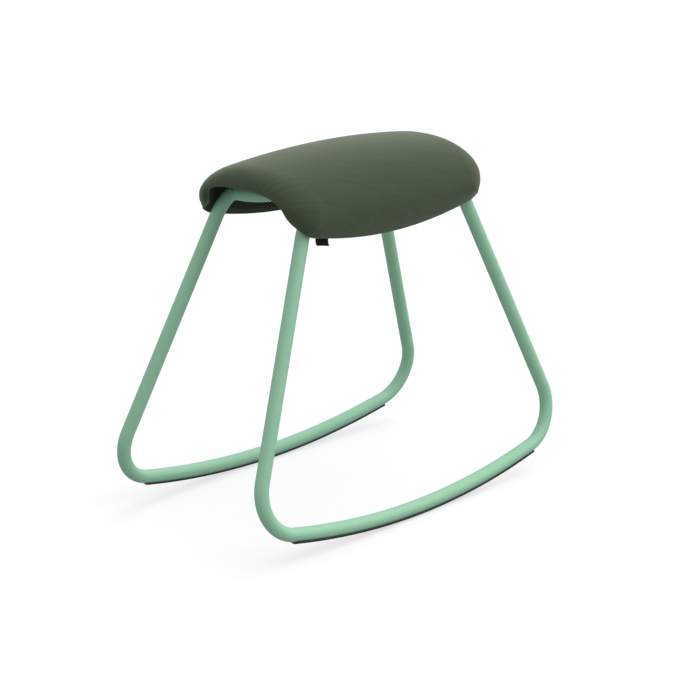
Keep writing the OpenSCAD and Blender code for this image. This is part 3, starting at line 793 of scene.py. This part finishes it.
def padded_slab(skin_inset, under_inset, offset):
    """Makes the closed saddle body in millimetres and gives each point its u, v and w."""
    bm = bmesh.new()
    bmesh.ops.create_grid(bm, x_segments=SLAB_ACROSS, y_segments=SLAB_LENGTHWAYS, size=1)
    bmesh.ops.translate(bm, verts=bm.verts[:], vec=(0, 0, 1))
    grown = bmesh.ops.extrude_face_region(bm, geom=bm.faces[:], use_keep_orig=True)["geom"]
    lower = [item for item in grown if isinstance(item, bmesh.types.BMVert)]
    bmesh.ops.translate(bm, verts=lower, vec=(0, 0, -1))
    walls = [e for e in bm.edges if abs(e.verts[0].co.z - e.verts[1].co.z) > HALFWAY_UP]
    bmesh.ops.subdivide_edges(bm, edges=walls, cuts=RIM_RINGS - 1, use_grid_fill=True)
    layers = [bm.verts.layers.float.new(letter) for letter in "uvw"]
    for vert in bm.verts:
        for layer, value in zip(layers, vert.co):
            vert[layer] = value
        inset = under_inset + (skin_inset - under_inset) * vert.co.z
        vert.co = saddle_point(*vert.co, inset, offset)
    u_layer, v_layer, w_layer = layers
    corners = []
    for vert in bm.verts:
        aside, endwards, up = abs(vert[u_layer]), abs(vert[v_layer]), vert[w_layer]
        on_outside = up > OFF_UNDERSIDE or max(aside, endwards) > ON_EDGE
        if min(aside, endwards) > CORNER_START and on_outside:
            corners.append(vert)
    smooth_corners(corners)
    return bm


# %% [markdown]
# The cover is sewn tight over the foam. A cloth simulation lets it settle: the fabric is held
# at its hem, the foam pushes it outwards as an even pressure, and the threads pull it smooth.
# It starts a little smaller than the finished seat. Each point may only move outwards, by
# 0.6 to 2 mm, which is the foam's give.

# %% Helper that lets the cover settle
SETTLE_FRAMES = 20
LEAST_MOVE = 0.6
MOST_MOVE = 2.0


def settle_cloth(bm, held):
    """Runs a short cloth simulation on a bmesh in millimetres and keeps the capped result."""
    data = bpy.data.meshes.new("settling_cloth")
    bm.to_mesh(data)
    data.transform(Matrix.Scale(MM, 4))
    trial = bpy.data.objects.new("settling_cloth", data)
    bpy.context.collection.objects.link(trial)
    group = trial.vertex_groups.new(name="held")
    group.add(list(held), 1.0, "REPLACE")
    cloth_sim = trial.modifiers.new("cloth", "CLOTH")
    settings = cloth_sim.settings
    settings.quality = 6
    settings.mass = 0.3
    settings.tension_stiffness = settings.compression_stiffness = 40
    settings.shear_stiffness = 20
    settings.bending_stiffness = 2
    settings.vertex_group_mass = "held"
    settings.use_pressure = True
    settings.uniform_pressure_force = 4
    settings.effector_weights.gravity = 0
    cloth_sim.point_cache.frame_start = 1
    cloth_sim.point_cache.frame_end = SETTLE_FRAMES
    for frame_number in range(1, SETTLE_FRAMES + 1):
        bpy.context.scene.frame_set(frame_number)
    graph = bpy.context.evaluated_depsgraph_get()
    settled = [vert.co / MM for vert in trial.evaluated_get(graph).data.vertices]
    bpy.context.scene.frame_set(1)
    bpy.data.objects.remove(trial)
    bpy.data.meshes.remove(data)
    bm.normal_update()
    pushes = [(place - vert.co).dot(vert.normal) for place, vert in zip(settled, bm.verts)]
    print("cloth swells by", round(max(pushes), 2), "mm before the cap")
    for vert, push in zip(bm.verts, pushes):
        if vert.index not in held:
            vert.co += vert.normal * min(max(push, LEAST_MOVE), MOST_MOVE)


# %% [markdown]
# The cover is the slab's skin, its rim and a hem under the shell. The rest of the underside
# is cut away. Its UV map measures the cloth in metres.

# %% Seat cover
HEM_FLAP_SHARE = 0.15
HEM_END_SHARE = 0.32
HELD_BELOW = 0.3
COVER_START = 1.0
CLOTH_HALF = 0.25
ROLL = 0.04


def is_open(face, layers):
    """True where a face of the slab's underside lies further in than the cover's hem."""
    u_layer, v_layer, w_layer = layers
    for vert in face.verts:
        in_hem = abs(vert[u_layer]) > 1 - HEM_FLAP_SHARE or abs(vert[v_layer]) > 1 - HEM_END_SHARE
        if vert[w_layer] > OFF_UNDERSIDE or in_hem:
            return False
    return True


bm = padded_slab(COVER_START, 0, hem_offset)
layers = [bm.verts.layers.float.get(letter) for letter in "uvw"]
opened = [face for face in bm.faces if is_open(face, layers)]
bmesh.ops.delete(bm, geom=opened, context="FACES")
bmesh.ops.recalc_face_normals(bm, faces=bm.faces[:])
bm.verts.index_update()
settle_cloth(bm, {vert.index for vert in bm.verts if vert[layers[2]] < HELD_BELOW})
print("cover faces", len(bm.faces))
uv = bm.loops.layers.uv.new("cloth")
for face in bm.faces:
    for corner in face.loops:
        u, v, w = (corner.vert[layer] for layer in layers)
        reach_u = u * CLOTH_HALF
        reach_v = math.sin(v * math.pi / 2) * CLOTH_HALF
        if abs(u) > ON_EDGE:
            reach_u += math.copysign((1 - w) * ROLL, u)
        if abs(v) > ON_EDGE:
            reach_v += math.copysign((1 - w) * ROLL, v)
        corner[uv].uv = (reach_u, reach_v)
cover = finish_piece(
    bm, "seat_cover_fabric", cover_fabric, ["seat_cover"], levels=1, wall=COVER_T
)

# %% Foam pad
bm = padded_slab(foam_inset, foam_inset, foam_offset)
foam = finish_piece(bm, "seat_foam_pad", finish["cut_seat_foam"], ["seat_foam"])

# %% [markdown]
# The lining is a thin sheet that lies over the inside of the saddle and is stapled past the
# hem. At the front and back it stops short of the shell's end, and the hem shows there.

# %% Lining
LINING_INSET = 3.0
LINING_END_INSET = 12.0
LINING_ACROSS = 60
LINING_LENGTHWAYS = 48
LINING_UV_HALF = (0.19, 0.2)
bm = bmesh.new()
bmesh.ops.create_grid(bm, x_segments=LINING_ACROSS, y_segments=LINING_LENGTHWAYS, size=1)
uv = bm.loops.layers.uv.new("cloth")
for face in bm.faces:
    for corner in face.loops:
        u, v = corner.vert.co.x, corner.vert.co.y
        corner[uv].uv = (u * LINING_UV_HALF[0], v * LINING_UV_HALF[1])
reach = SHELL_HALF_L - LINING_END_INSET
for vert in bm.verts:
    u, v = vert.co.x, vert.co.y
    share = math.sin(v * math.pi / 2)
    place = inside(u, share, LINING_T / 2, reach)
    if abs(u) > CORNER_SHARE:
        down = (abs(u) - CORNER_SHARE) / (1 - CORNER_SHARE)
        place.z += LINING_INSET * down
    vert.co = place
lining_area = sum(face.calc_area() for face in bm.faces) * MM * MM
lining = finish_piece(
    bm,
    "underside_lining_sheet",
    lining_cloth,
    ["underside_lining"],
    wall=LINING_T,
    wall_side=0,
)

# %% [markdown]
# The tag is a bare piece of black satin tape. Its upper end is caught at the lining's edge.
# It hangs straight down past the cover and then curls outwards.

# %% Tag
TAG_W = 31.0
TAG_H = 22.0
TAG_T = 0.6
TAG_Y = 172.0
TAG_GAP = 0.3
TAG_STRAIGHT = 9.0
TAG_CURL_R = 16.0
TAG_ACROSS = 10
TAG_DOWN = 16
tag_top = Vector(
    (
        HALF_INSIDE + hem_offset - TAG_GAP - TAG_T / 2,
        -TAG_Y,
        edge_z(TAG_Y) + flap_lip + LINING_INSET - TAG_GAP,
    )
)
tag_tilt = math.atan(2 * FLAP_RISE * TAG_Y / EDGE_HALF_L**2)
bm = bmesh.new()
bmesh.ops.create_grid(bm, x_segments=TAG_ACROSS, y_segments=TAG_DOWN, size=0.5)
for vert in bm.verts:
    down = (0.5 - vert.co.y) * TAG_H
    curl = max(down - TAG_STRAIGHT, 0) / TAG_CURL_R
    drop = min(down, TAG_STRAIGHT) + TAG_CURL_R * math.sin(curl)
    vert.co = (TAG_CURL_R * (1 - math.cos(curl)), vert.co.x * TAG_W, -drop)
bm.transform(Matrix.Translation(tag_top) @ Matrix.Rotation(-tag_tilt, 4, "X"))
tag = finish_piece(
    bm,
    "label_tag_tape",
    finish["black_satin_tape"],
    ["label_tag"],
    wall=TAG_T,
    wall_side=0,
)

# %% [markdown]
# A studio: a pale floor under an even white sky with one very wide lamp high on the right.
# Both reach all of the floor alike. The sky lights at half strength, but the camera and the
# stool's reflections see it as full white. The camera sees the floor a little brighter than
# its own colour, so that it blends into the white surround, and it keeps the stool's contact
# shadow.

# %% Studio
FLOOR_HALF = 40
FLOOR_GLOW = 0.64
SKY = 0.5
LAMP_SHARE = 0.62
LAMP_WIDTH = math.radians(95)
LAMP_PLACE = Vector((0.62, 0.95, 1.5))
floor_material, shader = new_material("studio_floor", "acacac", {"Roughness": 0.9})
shader.inputs["Specular IOR Level"].default_value = 0.0
path = add_node(floor_material, "LightPath")
glow = add_node(
    floor_material,
    "Math",
    {"operation": "MULTIPLY", 1: FLOOR_GLOW},
    {0: path.outputs["Is Camera Ray"]},
)
shader.inputs["Emission Color"].default_value = (1, 1, 1, 1)
link(floor_material, glow.outputs[0], shader.inputs["Emission Strength"])
bm = bmesh.new()
bmesh.ops.create_grid(bm, x_segments=1, y_segments=1, size=FLOOR_HALF)
data = bpy.data.meshes.new("studio_floor")
bm.to_mesh(data)
bm.free()
data.materials.append(floor_material)
floor = bpy.data.objects.new("studio_floor", data)
bpy.context.collection.objects.link(floor)

world = bpy.data.worlds.new("studio")
bpy.context.scene.world = world
world.use_nodes = True
background = world.node_tree.nodes["Background"]
background.inputs["Color"].default_value = (1, 1, 1, 1)
rays = add_node(world, "LightPath")
seen = add_node(
    world,
    "Math",
    {"operation": "MAXIMUM"},
    {0: rays.outputs["Is Camera Ray"], 1: rays.outputs["Is Glossy Ray"]},
)
strength = add_node(
    world, "MapRange", {"To Min": SKY, "To Max": 1.0}, {"Value": seen.outputs["Value"]}
)
link(world, strength.outputs["Result"], background.inputs["Strength"])

lamp_data = bpy.data.lights.new("wide_lamp", "SUN")
lamp_data.energy = LAMP_SHARE * math.pi
lamp_data.angle = LAMP_WIDTH
lamp = bpy.data.objects.new("wide_lamp", lamp_data)
lamp.rotation_mode = "QUATERNION"
lamp.rotation_quaternion = (-LAMP_PLACE).to_track_quat("-Z", "Y")
bpy.context.collection.objects.link(lamp)

bpy.context.scene.view_settings.view_transform = "Standard"
